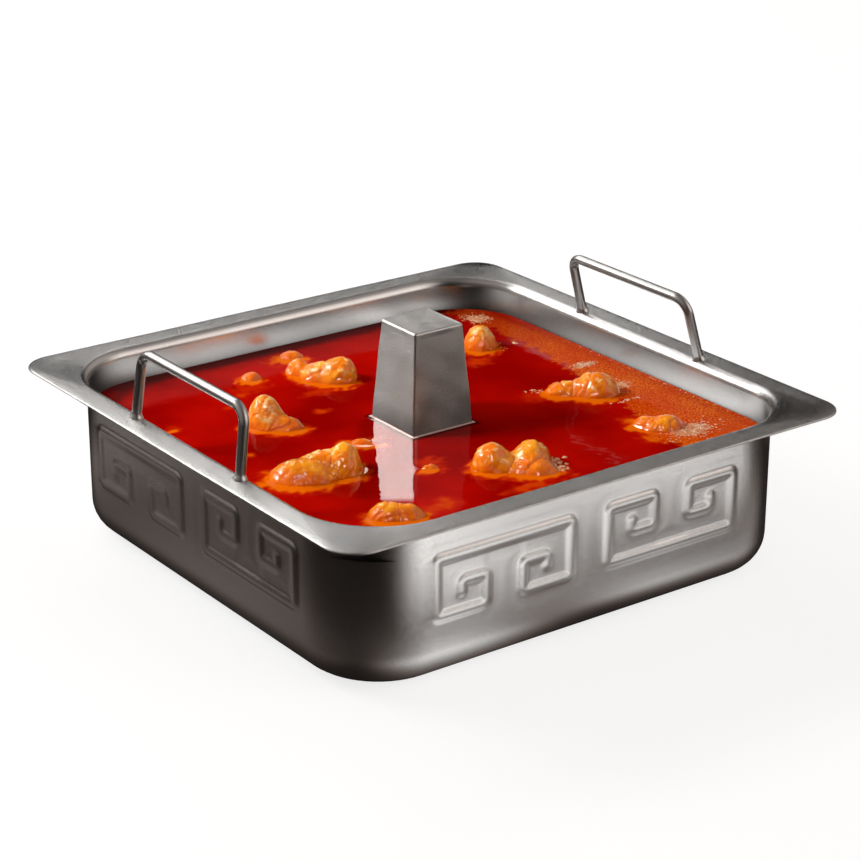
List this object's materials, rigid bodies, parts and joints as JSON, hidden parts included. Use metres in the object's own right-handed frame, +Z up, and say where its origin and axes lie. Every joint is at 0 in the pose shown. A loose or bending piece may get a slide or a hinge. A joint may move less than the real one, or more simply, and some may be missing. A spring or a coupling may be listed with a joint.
{
  "type": "hot pot",
  "caption": "Square flanged steel pot with rod handles, pressed fret and a central tower, filled with red broth and pieces of meat.",
  "frame": {"origin": "middle of the pot's base, on the surface that it stands on", "axes": "+Z up, X through both handles, Y along the rim between them"},
  "size_m": [0.36, 0.36, 0.1435],
  "materials": {
    "brushed_steel": "satin brushed stainless steel sheet",
    "tower_steel": "brushed stainless steel, slightly duller than the pot",
    "rod_steel": "polished stainless steel rod",
    "broth": "glossy deep red broth",
    "meat": "glossy orange stewed meat",
    "foam": "orange speckled oil and foam on the broth"
  },
  "bodies": {
    "root": {"pot": "brushed_steel", "tower": "tower_steel", "handle_left": "rod_steel", "handle_right": "rod_steel", "broth": "broth", "meat_1": "meat", "meat_2": "meat", "meat_3": "meat", "meat_4": "meat", "meat_5": "meat", "meat_6": "meat", "meat_7": "meat", "meat_8": "meat", "meat_9": "meat", "meat_10": "meat", "meat_11": "meat", "meat_12": "meat"}
  },
  "joints": []
}
